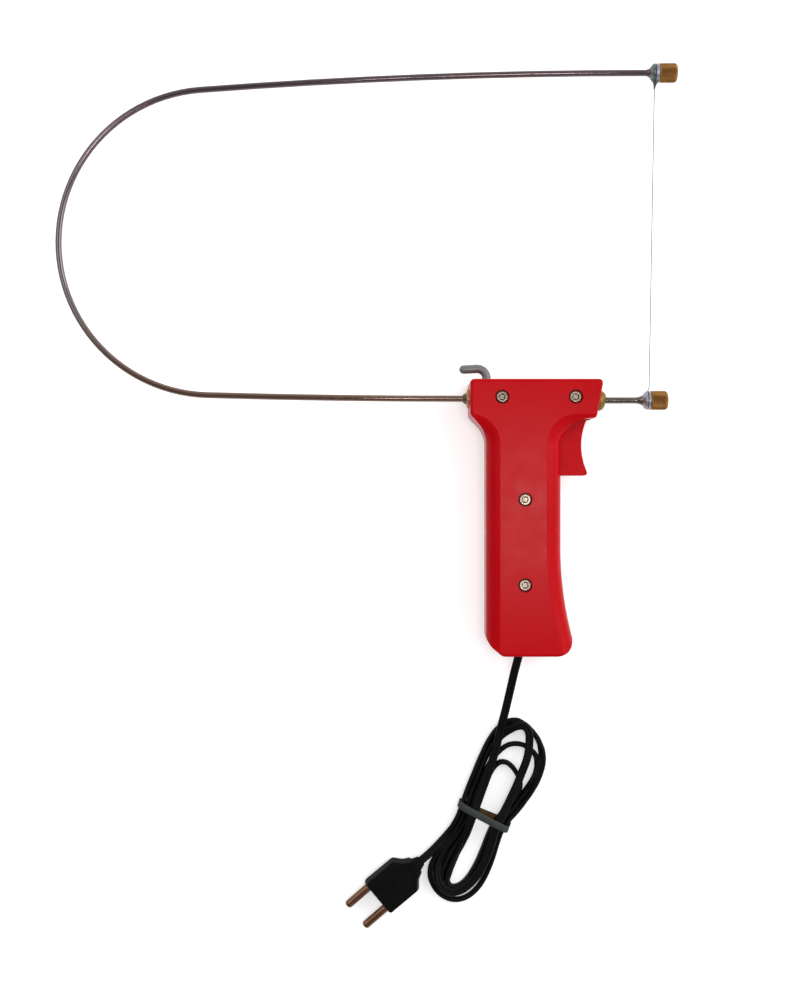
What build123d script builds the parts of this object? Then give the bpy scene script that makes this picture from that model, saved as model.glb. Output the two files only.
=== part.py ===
from build123d import *
import math
import os

# A hot-wire foam cutter that lies flat on its side, in millimetres.
# X runs from the back of the bow to the nose, Y from the foot of the grip to the upper arm, Z up.

# Handle
THICKNESS = 37.0
MID = THICKNESS / 2
WALL = 2.6
EDGE_ROUND = 2.0
PARTING_CHAMFER = 0.25
HEAD_REAR = 68.0
HEAD_TOP = -13.6
HEAD_BOTTOM = -39.3
NOSE_TOP = 155.6
NOSE_BOTTOM = 150.7
SHOULDER_Y = -37.0
GRIP_REAR = 78.7
GRIP_FRONT = 128.1
GRIP_BOTTOM = -195.7
NECK_REAR_Y = -48.5
NECK_REAR_RADIUS = 19.0
NECK_FRONT_RADIUS = 20.0
FLARE_Y = -153.3
FLARE_ANGLE = 14.26
FLARE_RADIUS = 232.0
HEEL_X = 10.5
HEEL_Y = 8.9
HEEL_RADIUS = 13.0
TOE_RADIUS = 10.9
FOOT_BAND = 4.2

# Rounded bands along the grip's edges
CREASE_Y = -36.5
CREASE_REAR = 87.6
CREASE_FRONT = 118.0
CREASE_REAR_RADIUS = 20.0
CREASE_FRONT_RADIUS = 20.5
BAND_START = 12.0
BAND_END = 80.0
BAND_REACH = 16.0

# Shell screws, two in the head and two in the grip
SCREW_PLACES = [(88.9, -25.5), (137.0, -25.4), (103.9, -92.8), (103.9, -148.8)]
SCREW_SEAT = 33.6
SCREW_TIP = 7.0
SCREW_DIA = 3.0
SCREW_HEAD_DIA = 7.8
SCREW_HEAD = 2.4
SCREW_ROUND = 0.7
COUNTERBORE_DIA = 9.4
BOSS_DIA = 7.5
CUP_DIA = 12.4
CUP_BOTTOM = 30.0

# Bow, one rod
ROD_DIA = 4.2
BOW_AXIS_Y = -25.47
BOW_END_X = 84.3
BOW_ENTRY_X = 66.0
LOWER_ARM = 172.65
LOWER_TURN = 1.6
BEND_RADIUS = 101.9
UPPER_TURN = 4.35
UPPER_FLARE_X = 185.6

# Bush where the bow enters the head
BUSH_DIA = 13.0
BUSH_FLANGE = 1.5
BUSH_CONE = 4.2

# Nose rod
NOSE_AXIS_Y = -26.6
NOSE_ROD_START = 142.0
LOWER_FLARE_X = 178.6
NOSE_BUSH_DIA = 13.6
NOSE_BUSH_LENGTH = 5.6
NOSE_BUSH_ROUND = 4.2

# Wire clamps at the two rod ends
STUD_DIA = 3.2
STUD_CLEARANCE = 0.05
FLARE_DIA = 7.0
CLAMP_DIA = 12.4
CUP_LENGTH = 3.0
NUT_DIA = 12.6
NUT_ROUND = 2.0
STUD_TIP_GAP = 2.5
WIRE_DIA = 0.5
WIRE_ROOM = 0.6
FACE_GAP = 0.05
UPPER_STACK = {"cup": 188.7, "washer": 2.1, "nut_end": 207.0}
LOWER_STACK = {"cup": 183.6, "washer": 1.3, "nut_end": 200.6}

# Bow clamp screw
CLAMP_SCREW_X = 79.6
CLAMP_SCREW_DIA = 5.8
CLAMP_SCREW_HOLE = 6.4
CLAMP_THREAD_DIA = 5.0
CLAMP_ARM_Y = -5.2
CLAMP_ARM_TIP = (64.4, -6.05)
CLAMP_BEND = 6.3

# Trigger and switch
TRIGGER_THICKNESS = 14.0
TRIGGER_BOTTOM = -76.8
PIVOT = (131.5, -33.5)
PIVOT_DIA = 3.0
SLOT_HALF = 7.4
SWITCH_LOW = (98.5, -70.3)
SWITCH_SIZE = (15.9, 27.8, 10.3)
SWITCH_PEG_X = 102.0
SWITCH_PEGS_Y = (-67.5, -45.3)
PLUNGER_Y = -50.0
PLUNGER_TIP = 117.4
TAB_PLACES = (-66.0, -55.0)
SPRING_Y = -74.2
SPRING_SEAT = 108.0
SPRING_FACE = 120.0

# Transformer
CORE = (41.0, 34.2, 18.0)
CORE_CENTRE = (103.2, -120.8, MID)
CORE_LEG = 13.0
WINDOW = (7.5, 20.7)
BOBBIN_HEIGHT = 20.5

# Cord, a flat twin flex that stands on its edge
CORD_WIDE = 5.6
CORD_THIN = 3.3
CORD_EXIT = (101.4, -195.8, MID)
INNER_CORD = [(103.9, -160.0, MID), (103.9, -186.0, MID), CORD_EXIT]
LEAD_BENDS = [(96.9, -215.4, 16.2), (94.9, -225.0, 13.2), (92.85, -234.2, 10.6)]
LEAD_RUN = 8.0
TAIL_BENDS = [(46.9, -326.0, 6.2), (51.6, -320.4, 4.9)]
TAIL_RUN = 7.0

# Hank of the cord, in its own axes: along its length, across it, and up
HANK_CENTRE = (78.4, -307.3)
HANK_LEAN = 19.15
LOOPS = 4
LOOP_STEP = 3.95
LAYER_LOW = 3.9
LAYER_HIGH = 10.1
WAIST_LEFT = -16.6
WAIST_RIGHT = 17.3
FOOT_LEFT = -19.6
FOOT_RIGHT = 16.6
FOOT_U = -38.0
FOOT_TIP = -58.2
TOP_TIPS = (68.0, 63.5, 54.0, 40.0)
HANK_START = (-8.0, -17.6)
START_LEAN = 11.2
HANK_END = (60.0, -9.6)

# Tie round the hank
TIE_WIDTH = 5.5
TIE_THICK = 0.9

# Plug
PLUG_FRONT = (6.16, -361.43)
PLUG_ANGLE = 39.9
PLUG_HALF = 14.3
PLUG_SIDE = 25.5
PLUG_WAIST = (30.2, 8.7)
PLUG_COLLAR = (35.0, 6.3)
PLUG_LENGTH = 39.06
PLUG_THICK = 14.0
PLUG_DRAFT = 12.5
PLUG_CORNERS = [3.2, 3.6, 8.0, 2.6]
PLUG_ROUND = 0.9
PLUG_RIBS = 4
PLUG_RIB_FIRST = 7.2
PLUG_RIB_STEP = 3.2
PIN_DIA = 5.6
PIN_LENGTH = 18.7
PIN_SPACING = 18.0
PIN_LEAN = 0.9
PIN_ROOT = 7.0
PIN_ROOT_DIA = 4.0
PIN_GAP = 0.15


def cylinder(x, y, low, high, diameter):
    return Pos(x, y, (low + high) / 2) * Cylinder(diameter / 2, high - low)


def block(x0, x1, y0, y1, z0, z1):
    return Pos((x0 + x1) / 2, (y0 + y1) / 2, (z0 + z1) / 2) * Box(x1 - x0, y1 - y0, z1 - z0)


def x_cylinder(x0, x1, y, diameter, z=MID):
    return Pos((x0 + x1) / 2, y, z) * Rot(0, 90, 0) * Cylinder(diameter / 2, x1 - x0)


def y_cylinder(x, y0, y1, diameter):
    return Pos(x, (y0 + y1) / 2, MID) * Rot(90, 0, 0) * Cylinder(diameter / 2, y1 - y0)


def turned(axis_y, profile):
    """Solid of revolution about a line along X, from (x, radius) points."""
    points = [(x, axis_y + radius, MID) for x, radius in profile]
    face = make_face(Polyline(*points, close=True))
    return revolve(face, Axis((0, axis_y, MID), (1, 0, 0)))


def route_radii(points):
    """Largest even arc at each corner of a route."""
    radii = []
    for before, corner, after in zip(points, points[1:], points[2:]):
        first = Vector(*corner) - Vector(*before)
        second = Vector(*after) - Vector(*corner)
        half_turn = math.radians(first.get_angle(second)) / 2
        radii.append(0.45 * min(first.length, second.length) / math.tan(half_turn))
    return radii


def tube(name, points, section):
    """Sweep of a section along straight runs joined by tangent arcs."""
    radii = route_radii(points)
    path = FilletPolyline(*points, radius=radii)
    solid = sweep(Plane(path @ 0, x_dir=(0, 0, 1), z_dir=path % 0) * section, path=path)
    print(name, "radii", [round(radius, 1) for radius in radii])
    print(name, "volume", round(solid.volume, 1), "section by length", round(section.area * path.length, 1))
    return solid


def cord_section():
    return SlotOverall(CORD_WIDE, CORD_THIN)


def handle_outline():
    flare_x = GRIP_FRONT + (FLARE_Y - GRIP_BOTTOM) * math.tan(math.radians(FLARE_ANGLE))
    corners = [
        ((HEAD_REAR, HEAD_TOP), 2.6),
        ((NOSE_TOP, HEAD_TOP), 2.6),
        ((NOSE_BOTTOM, HEAD_BOTTOM), 2.4),
        ((GRIP_FRONT, HEAD_BOTTOM), NECK_FRONT_RADIUS),
        ((GRIP_FRONT, FLARE_Y), FLARE_RADIUS),
        ((flare_x, GRIP_BOTTOM), TOE_RADIUS),
        ((GRIP_REAR + HEEL_X, GRIP_BOTTOM), 5.0),
        ((GRIP_REAR, GRIP_BOTTOM + HEEL_Y), HEEL_RADIUS),
        ((GRIP_REAR, NECK_REAR_Y), NECK_REAR_RADIUS),
        ((HEAD_REAR, SHOULDER_Y), 4.0),
    ]
    points = [point for point, radius in corners]
    radii = [radius for point, radius in corners]
    return make_face(FilletPolyline(*points, radius=radii, close=True))


def crease_paths():
    """Lines on the flat face where the rounded bands of the grip begin, with each band's width."""
    rear = FilletPolyline(
        (HEAD_REAR - 20, CREASE_Y),
        (CREASE_REAR, CREASE_Y),
        (CREASE_REAR, GRIP_BOTTOM - 15),
        radius=[CREASE_REAR_RADIUS],
    )
    width = GRIP_FRONT - CREASE_FRONT
    flare = math.radians(FLARE_ANGLE)
    bend_y = FLARE_Y - width * math.tan(flare / 2)
    drop = bend_y - GRIP_BOTTOM + 15
    front = FilletPolyline(
        (NOSE_TOP + 15, CREASE_Y),
        (CREASE_FRONT, CREASE_Y),
        (CREASE_FRONT, bend_y),
        (CREASE_FRONT + drop * math.tan(flare), bend_y - drop),
        radius=[CREASE_FRONT_RADIUS, FLARE_RADIUS + width],
    )
    foot_y = GRIP_BOTTOM + FOOT_BAND
    foot = Line((GRIP_REAR - 15, foot_y), (GRIP_FRONT + 30, foot_y))
    return [(rear, CREASE_REAR - GRIP_REAR), (front, width), (foot, FOOT_BAND)]


def edge_band(path, width, inset):
    """What a rounded band takes off the lower face, or off the cavity where inset is the wall."""
    start, end = math.radians(BAND_START), math.radians(BAND_END)
    radius = width / (math.sin(end) - math.sin(start))
    centre = (-radius * math.sin(start), radius * math.cos(start))
    origin = path @ 0

    def at(outward, depth):
        return origin + Vector(0, -outward, depth)

    def on_arc(slope):
        reach = radius - inset
        return at(centre[0] + reach * math.sin(slope), centre[1] - reach * math.cos(slope))

    first = start if inset == 0 else start / 2
    arc = ThreePointArc(on_arc(first), on_arc((first + end) / 2), on_arc(end))
    begin, finish = on_arc(first), on_arc(end)
    rest = Polyline(
        finish,
        origin + Vector(0, -BAND_REACH, finish.Z),
        origin + Vector(0, -BAND_REACH, -3),
        Vector(begin.X, begin.Y, -3),
        begin,
    )
    return sweep(make_face([arc, rest]), path=path)


def outer_half():
    body = extrude(handle_outline(), MID)
    body = fillet(body.edges().group_by(Axis.Z)[0], EDGE_ROUND)
    body = chamfer(body.edges().group_by(Axis.Z)[-1], PARTING_CHAMFER)
    for path, width in crease_paths():
        body -= edge_band(path, width, 0)
    return body


def cavity_half():
    cavity = Pos(0, 0, WALL) * extrude(offset(handle_outline(), -WALL), MID)
    for path, width in crease_paths():
        cavity -= edge_band(path, width, WALL)
    return cavity


def wall_openings():
    """Holes that the two shells share along their parting line, and the trigger's slot."""
    direction = Vector(*CORD_EXIT) - Vector(*INNER_CORD[1])
    hole_start = Vector(*CORD_EXIT) - direction.normalized() * 8
    cord_hole = Plane(hole_start, z_dir=direction) * Pos(0, 0, 8) * Cylinder(3.2, 16)
    return [
        x_cylinder(HEAD_REAR - 1, HEAD_REAR + WALL + 1, BOW_AXIS_Y, 7.1),
        x_cylinder(NOSE_BOTTOM - 4, NOSE_TOP + 1, NOSE_AXIS_Y, 7.1),
        y_cylinder(CLAMP_SCREW_X, HEAD_TOP - WALL - 1, HEAD_TOP + 1, CLAMP_SCREW_HOLE),
        block(124.0, 148.4, TRIGGER_BOTTOM - 0.5, -36.0, MID - SLOT_HALF, MID + SLOT_HALF),
        cord_hole,
    ]


def shell_posts(low):
    """Posts and ribs that both shells have, from the wall up to the parts that they hold."""
    core_low = MID - CORE[2] / 2 - FACE_GAP
    switch_low = MID - SWITCH_SIZE[2] / 2 - FACE_GAP
    x, y = CORE_CENTRE[0], CORE_CENTRE[1]
    half_x, half_y = CORE[0] / 2, CORE[1] / 2
    posts = [
        block(73, 83, -31, -20, low, MID - 5 - FACE_GAP),
        block(142, 148, -23.5, -20.5, low, MID - 5 - FACE_GAP),
        block(106, SPRING_SEAT, -78.5, -70.9, low, MID),
        cylinder(*PIVOT, low, MID - TRIGGER_THICKNESS / 2 - 0.4, 6.0),
        block(GRIP_REAR + 1.5, x - half_x - 0.3, y - 3, y + 3, 9.0, MID),
        block(x + half_x + 0.3, GRIP_FRONT - 1.5, y - 3, y + 3, 9.0, MID),
    ]
    for peg_y in SWITCH_PEGS_Y:
        posts.append(cylinder(SWITCH_PEG_X, peg_y, low, switch_low, 6.0))
    for side in (-1, 1):
        edge = y + side * half_y
        near, far = sorted((edge + side * 0.3, edge + side * 1.9))
        posts.append(block(x - 6, x + 6, near, far, low, MID))
        foot = edge - side * 3.3
        posts.append(block(x - 6, x + 6, foot - 2.5, foot + 2.5, low, core_low))
    return posts


def saddle():
    """Seat for the cord with a pillar for each clamp screw."""
    x = INNER_CORD[0][0]
    seat = block(x - 14, x + 14, -176, -168, 2, MID - CORD_WIDE / 2 - FACE_GAP)
    for side in (-1, 1):
        inner, outer = sorted((x + side * 7, x + side * 14))
        seat += block(inner, outer, -176, -168, 2, MID + CORD_WIDE / 2 - 0.4)
        seat -= cylinder(x + side * 10.5, -172, 6, MID + 6, 3.06)
    return seat


def handle_shell_bottom(outer, cavity):
    inside = Part() + shell_posts(2.0)
    for peg_y in SWITCH_PEGS_Y:
        inside += cylinder(SWITCH_PEG_X, peg_y, 2, MID + 3, 2.9)
    inside += [cylinder(x, y, 2, MID, BOSS_DIA) for x, y in SCREW_PLACES]
    inside += saddle()
    pegs_above = inside - block(0, 200, -210, 0, 0, MID)
    shell = outer - cavity + (inside & outer) + pegs_above
    for opening in wall_openings():
        shell -= opening
    for x, y in SCREW_PLACES:
        shell -= cylinder(x, y, SCREW_TIP - 1.5, MID + 1, SCREW_DIA + 0.06)
    shell -= cylinder(*PIVOT, 5, MID, PIVOT_DIA + 0.05)
    return shell


def handle_shell_top(outer, cavity):
    lower = outer - cavity + ((Part() + shell_posts(2.0)) & outer)
    shell = mirror(lower, about=Plane.XY.offset(MID))
    for x, y in SCREW_PLACES:
        shell += cylinder(x, y, MID, CUP_BOTTOM, BOSS_DIA)
        shell += cylinder(x, y, CUP_BOTTOM, THICKNESS - 1.5, CUP_DIA)
    for opening in wall_openings():
        shell -= opening
    for x, y in SCREW_PLACES:
        shell -= cylinder(x, y, MID - 1, THICKNESS, SCREW_DIA + 0.4)
        shell -= cylinder(x, y, SCREW_SEAT, THICKNESS + 1, COUNTERBORE_DIA)
    shell -= cylinder(*PIVOT, MID, THICKNESS - 5, PIVOT_DIA + 0.05)
    return shell


def pan_screw(x, y, seat, tip, diameter, head_diameter, head):
    """Screw with a flat-topped head, rounded at its edge, and a cross in a shallow dish."""
    top, radius = seat + head, head_diameter / 2
    rim = fillet(Cylinder(radius, head).edges().group_by(Axis.Z)[-1], SCREW_ROUND)
    screw = Pos(x, y, seat + head / 2) * rim + cylinder(x, y, tip, seat, diameter)
    dish = radius * 0.6
    screw -= Pos(x, y, top - dish * 0.2) * Cone(dish * 0.6, dish, dish * 0.4)
    for angle in (35, 125):
        screw -= Pos(x, y, top) * Rot(0, 0, angle) * Box(head_diameter * 0.48, head * 0.4, head * 1.3)
    return screw


def bow_path():
    lower, upper = math.radians(LOWER_TURN), math.radians(UPPER_TURN)
    entry = Vector(BOW_ENTRY_X, BOW_AXIS_Y, MID)
    low = entry + Vector(-LOWER_ARM, LOWER_ARM * math.tan(lower / 2))
    centre = low + Vector(math.sin(lower), math.cos(lower)) * BEND_RADIUS
    high = centre + Vector(-math.sin(upper), math.cos(upper)) * BEND_RADIUS
    reach = UPPER_FLARE_X - high.X
    end = high + Vector(reach, reach * math.tan(upper / 2))
    edges = [
        Line((BOW_END_X, BOW_AXIS_Y, MID), entry),
        TangentArc(entry, low, tangent=(-1, 0, 0)),
        TangentArc(low, high, tangent=(-math.cos(lower), math.sin(lower), 0)),
        TangentArc(high, end, tangent=(math.cos(upper), math.sin(upper), 0)),
    ]
    return Wire(edges), end


def rod_end(axis_y, flare_x, stack):
    """Flared collar and threaded stud at the end of a rod."""
    rod, stud = ROD_DIA / 2, STUD_DIA / 2
    collar = stack["cup"]
    tip = stack["nut_end"] - STUD_TIP_GAP
    flare = FLARE_DIA / 2
    length, growth = collar - flare_x, flare - rod
    trumpet = [(flare_x + length * along, rod + growth * along**2) for along in (0, 0.2, 0.4, 0.6, 0.8, 1)]
    return turned(axis_y, [(flare_x, 0), *trumpet, (collar, stud), (tip, stud), (tip, 0)])


def bow():
    path, end = bow_path()
    rod = sweep(Plane(path @ 0, z_dir=path % 0) * Circle(ROD_DIA / 2), path=path)
    return rod + rod_end(end.Y, UPPER_FLARE_X, UPPER_STACK)


def nose_rod():
    rod = x_cylinder(NOSE_ROD_START, LOWER_FLARE_X, NOSE_AXIS_Y, ROD_DIA)
    return rod + rod_end(NOSE_AXIS_Y, LOWER_FLARE_X, LOWER_STACK)


def cup_washer(axis_y, stack):
    hole = STUD_DIA / 2 + STUD_CLEARANCE
    start = stack["cup"]
    rim = CLAMP_DIA / 2
    profile = [
        (start, hole),
        (start, FLARE_DIA / 2),
        (start + CUP_LENGTH * 0.2, rim * 0.71),
        (start + CUP_LENGTH * 0.42, rim * 0.86),
        (start + CUP_LENGTH * 0.7, rim * 0.96),
        (start + CUP_LENGTH * 0.85, rim),
        (start + CUP_LENGTH, rim),
        (start + CUP_LENGTH, hole),
    ]
    return turned(axis_y, profile)


def washer_start(stack):
    return stack["cup"] + CUP_LENGTH + WIRE_ROOM


def flat_washer(axis_y, stack):
    start = washer_start(stack)
    ring = x_cylinder(start, start + stack["washer"], axis_y, CLAMP_DIA)
    return ring - x_cylinder(start - 1, start + stack["washer"] + 1, axis_y, STUD_DIA + 2 * STUD_CLEARANCE)


def thumb_nut(axis_y, stack):
    start = washer_start(stack) + stack["washer"] + FACE_GAP
    end = stack["nut_end"]
    body = x_cylinder(start, end, axis_y, NUT_DIA)
    body = fillet(body.edges().group_by(Axis.X)[-1], NUT_ROUND)
    body = chamfer(body.edges().group_by(Axis.X)[0], 0.4)
    return body - x_cylinder(start - 1, end - 1.5, axis_y, STUD_DIA + 2 * STUD_CLEARANCE)


def cutting_wire(upper_y):
    """Resistance wire, with a three-quarter eye round each stud."""
    eye = STUD_DIA / 2 + STUD_CLEARANCE + WIRE_DIA / 2 + 0.3
    upper_x = UPPER_STACK["cup"] + CUP_LENGTH + WIRE_ROOM / 2
    lower_x = LOWER_STACK["cup"] + CUP_LENGTH + WIRE_ROOM / 2
    level = MID + eye
    upper_eye = Plane((upper_x, upper_y, MID), x_dir=(0, 1, 0), z_dir=(1, 0, 0))
    lower_eye = Plane((lower_x, NOSE_AXIS_Y, MID), x_dir=(0, 1, 0), z_dir=(1, 0, 0))
    run = FilletPolyline(
        (upper_x, upper_y, level),
        (upper_x, upper_y - 7.0, level),
        (upper_x - 0.8, upper_y - 9.5, level),
        (lower_x + 0.8, NOSE_AXIS_Y + 9.0, level),
        (lower_x, NOSE_AXIS_Y + 6.5, level),
        (lower_x, NOSE_AXIS_Y, level),
        radius=1.0,
    )
    edges = (upper_eye * CenterArc((0, 0), eye, -180, 270)).edges()
    edges += run.edges()
    edges += (lower_eye * CenterArc((0, 0), eye, 90, 270)).edges()
    path = Wire(edges)
    return sweep(Plane(path @ 0, z_dir=path % 0) * Circle(WIRE_DIA / 2), path=path)


def rear_bush():
    """Flange against the back of the head, with a cone that tapers onto the rod."""
    face = HEAD_REAR - FACE_GAP
    inside = HEAD_REAR + WALL + 0.3
    bore = ROD_DIA / 2 + 0.05
    profile = [
        (face - BUSH_CONE, bore),
        (face - BUSH_CONE, bore + 0.4),
        (face - BUSH_FLANGE, 4.4),
        (face - BUSH_FLANGE, BUSH_DIA / 2 - 0.4),
        (face - BUSH_FLANGE + 0.4, BUSH_DIA / 2),
        (face, BUSH_DIA / 2),
        (face, 3.5),
        (inside, 3.5),
        (inside, bore),
    ]
    return turned(BOW_AXIS_Y, profile)


def nose_bush():
    """Domed bush whose base follows the slanted front of the head."""
    slant = math.degrees(math.atan((NOSE_TOP - NOSE_BOTTOM) / (HEAD_TOP - HEAD_BOTTOM)))
    face_x = NOSE_BOTTOM + (NOSE_AXIS_Y - HEAD_BOTTOM) * math.tan(math.radians(slant))
    dome = Cylinder(NOSE_BUSH_DIA / 2, NOSE_BUSH_LENGTH, align=(Align.CENTER, Align.CENTER, Align.MIN))
    dome = fillet(dome.edges().group_by(Axis.Z)[-1], NOSE_BUSH_ROUND)
    tilt = Pos(face_x + FACE_GAP, NOSE_AXIS_Y, MID) * Rot(0, 0, -slant) * Rot(0, 90, 0)
    bush = tilt * dome
    bush += x_cylinder(149.2, face_x + 1.5, NOSE_AXIS_Y, 7.0)
    return bush - x_cylinder(140, 170, NOSE_AXIS_Y, ROD_DIA + 0.1)


def bow_clamp_block():
    body = block(71.0, 84.8, -33.0, -17.5, MID - 5, MID + 5)
    body -= x_cylinder(70, 86, BOW_AXIS_Y, ROD_DIA + 0.1)
    return body - y_cylinder(CLAMP_SCREW_X, BOW_AXIS_Y, -16, CLAMP_THREAD_DIA + 0.1)


def bow_clamp_screw():
    tip = BOW_AXIS_Y + ROD_DIA / 2 + 0.15
    thread_end = HEAD_TOP - WALL
    thread = y_cylinder(CLAMP_SCREW_X, tip, thread_end, CLAMP_THREAD_DIA)
    points = [
        (CLAMP_SCREW_X, thread_end, MID),
        (CLAMP_SCREW_X, CLAMP_ARM_Y, MID),
        (*CLAMP_ARM_TIP, MID),
    ]
    path = FilletPolyline(*points, radius=CLAMP_BEND)
    arm = sweep(Plane(path @ 0, z_dir=path % 0) * Circle(CLAMP_SCREW_DIA / 2), path=path)
    return thread + arm + Pos(*CLAMP_ARM_TIP, MID) * Sphere(CLAMP_SCREW_DIA / 2)


def nose_block():
    body = block(141.0, 148.2, NOSE_AXIS_Y - 6.5, NOSE_AXIS_Y + 6.5, MID - 5, MID + 5)
    body -= x_cylinder(140, 150, NOSE_AXIS_Y, ROD_DIA + 0.1)
    return body - y_cylinder(145.0, NOSE_AXIS_Y, NOSE_AXIS_Y + 7, 3.06)


def nose_set_screw():
    low = NOSE_AXIS_Y + ROD_DIA / 2 + FACE_GAP
    screw = y_cylinder(145.0, low, low + 4.0, 3.0)
    return screw - Pos(145.0, low + 4.0, MID) * Box(0.6, 1.6, 4)


def trigger():
    half = TRIGGER_THICKNESS / 2
    px, py = PIVOT
    front_top, front_low = (147.3, -36.6), (145.5, -73.4)
    edges = [
        ThreePointArc(front_top, (142.1, -57.0), front_low),
        Polyline(
            front_low,
            (146.3, TRIGGER_BOTTOM),
            (124.9, TRIGGER_BOTTOM),
            (124.9, TRIGGER_BOTTOM - 2.2),
            (SPRING_FACE, TRIGGER_BOTTOM - 2.2),
            (SPRING_FACE, -57.0),
            (PLUNGER_TIP + 0.35, -54.0),
            (PLUNGER_TIP + 0.35, -46.0),
            (122.0, -41.5),
            (px - 3.2, py),
        ),
        ThreePointArc((px - 3.2, py), (px, py + 3.2), (px + 3.2, py)),
        Polyline((px + 3.2, py), (139.0, -35.6), front_top),
    ]
    body = Pos(0, 0, MID - half) * extrude(make_face(edges), TRIGGER_THICKNESS)
    corner = body.edges().filter_by(Axis.Z).sort_by_distance((146.3, TRIGGER_BOTTOM, MID))[0]
    body = fillet(corner, 1.8)
    front = body.edges().filter_by(GeomType.CIRCLE).filter_by(lambda edge: edge.radius > 20)
    body = fillet(front, 1.2)
    return body - cylinder(px, py, 0, THICKNESS, PIVOT_DIA + 0.1)


def trigger_return_spring():
    wire = 0.7
    start, end = SPRING_SEAT + wire / 2 + FACE_GAP, SPRING_FACE - wire / 2 - FACE_GAP
    path = Helix(2.0, end - start, 2.5, center=(start, SPRING_Y, MID), direction=(1, 0, 0))
    return sweep(Plane(path @ 0, z_dir=path % 0) * Circle(wire / 2), path=path, is_frenet=True)


def switch_body():
    x, y = SWITCH_LOW
    width, height, depth = SWITCH_SIZE
    body = block(x, x + width, y, y + height, MID - depth / 2, MID + depth / 2)
    body = fillet(body.edges().filter_by(Axis.Z), 1.0)
    for peg_y in SWITCH_PEGS_Y:
        body -= cylinder(SWITCH_PEG_X, peg_y, 0, THICKNESS, 3.1)
    return body - x_cylinder(106.0, x + width + 1, PLUNGER_Y, 3.2)


def switch_plunger():
    pin = x_cylinder(110.0, PLUNGER_TIP, PLUNGER_Y, 3.0)
    return fillet(pin.edges().group_by(Axis.X)[-1], 1.2)


def switch_terminals():
    x = SWITCH_LOW[0]
    return [block(x - 7.0, x - FACE_GAP, y - 2.4, y + 2.4, MID - 0.4, MID + 0.4) for y in TAB_PLACES]


def at_core(solid):
    return Pos(*CORE_CENTRE) * solid


def transformer_core():
    core = Box(*CORE)
    for side in (-1, 1):
        window_x = side * (CORE_LEG + WINDOW[0]) / 2
        core -= Pos(window_x, 0, 0) * Box(WINDOW[0], WINDOW[1], CORE[2])
    return at_core(core)


def rectangular_ring(inner, outer, height):
    ring = fillet(Box(outer[0], height, outer[1]).edges().filter_by(Axis.Y), 1.5)
    return ring - Box(inner[0], height, inner[1])


def transformer_bobbin():
    hole = (CORE_LEG + 0.2, CORE[2] + 0.2)
    wall = (CORE_LEG + 2.2, CORE[2] + 2.2)
    flange = (26.8, 30.8)
    bobbin = rectangular_ring(hole, wall, BOBBIN_HEIGHT)
    for side in (-1, 1):
        bobbin += Pos(0, side * (BOBBIN_HEIGHT - 1) / 2, 0) * rectangular_ring(hole, flange, 1.0)
    return at_core(bobbin)


def winding(inner, outer):
    return at_core(rectangular_ring(inner, outer, BOBBIN_HEIGHT - 2.1))


def primary_winding():
    return winding((CORE_LEG + 2.3, CORE[2] + 2.3), (21.7, 26.7))


def secondary_winding():
    return winding((21.9, 26.9), (25.3, 30.3))


def inner_wires():
    upper = CORE_CENTRE[1] + BOBBIN_HEIGHT / 2 + FACE_GAP
    lower = CORE_CENTRE[1] - BOBBIN_HEIGHT / 2 - FACE_GAP
    tab = SWITCH_LOW[0] - 7.0 - FACE_GAP
    cord_end = INNER_CORD[0][1] + FACE_GAP
    routes = {
        "bow_supply_wire": (2.4, [
            (94.0, upper, 30.6), (94.0, -104.5, 30.6), (88.5, -92.0, 28.0), (85.5, -78.0, 24.0),
            (84.2, -62.0, 20.5), (82.0, -48.0, 18.7), (78.0, -38.5, MID), (78.0, -33.05, MID),
        ]),
        "nose_supply_wire": (2.4, [
            (112.4, upper, 30.6), (112.4, -104.0, 30.6), (116.0, -92.0, 30.0), (118.0, -78.0, 29.8),
            (119.5, -62.0, 29.8), (122.5, -50.0, 29.6), (129.0, -41.0, 29.2), (137.0, -35.5, 28.0),
            (143.0, -30.8, 27.6), (145.0, -28.4, 26.6), (145.0, -28.4, MID + 5 + FACE_GAP),
        ]),
        "live_wire": (1.8, [
            (103.9, cord_end, 17.2), (102.5, -156.6, 16.2), (97.0, -151.0, 12.5), (89.5, -144.5, 7.6),
            (86.3, -134.0, 6.4), (86.0, -118.0, 6.5), (86.2, -102.0, 6.8), (86.5, -88.0, 9.0),
            (86.8, -77.0, 13.5), (87.6, -67.2, MID), (tab, -66.0, MID),
        ]),
        "switched_wire": (1.8, [
            (tab, -55.0, MID), (87.6, -56.0, MID), (88.5, -63.0, 13.0), (91.0, -72.0, 10.0),
            (93.5, -84.0, 8.5), (94.2, -97.0, 7.0), (94.0, upper, 6.4),
        ]),
        "neutral_wire": (1.8, [
            (103.9, cord_end, 19.8), (105.6, -156.4, 18.0), (110.5, -150.5, 12.5), (112.6, -142.0, 8.0),
            (112.5, -136.0, 6.7), (112.5, lower, 6.4),
        ]),
    }
    return {name: tube(name, points, Circle(size / 2)) for name, (size, points) in routes.items()}


def cord_clamp():
    x = INNER_CORD[0][0]
    low = MID + CORD_WIDE / 2 + FACE_GAP
    bar = fillet(block(x - 14, x + 14, -176, -168, low, low + 4).edges().filter_by(Axis.Z), 2.0)
    for side in (-1, 1):
        bar -= cylinder(x + side * 10.5, -172, 0, THICKNESS, 3.2)
    return bar


def cord_clamp_screws():
    x = INNER_CORD[0][0]
    seat = MID + CORD_WIDE / 2 + FACE_GAP + 4
    return [pan_screw(x + side * 10.5, -172, seat, 8.0, 3.0, 5.6, 2.0) for side in (-1, 1)]


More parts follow.
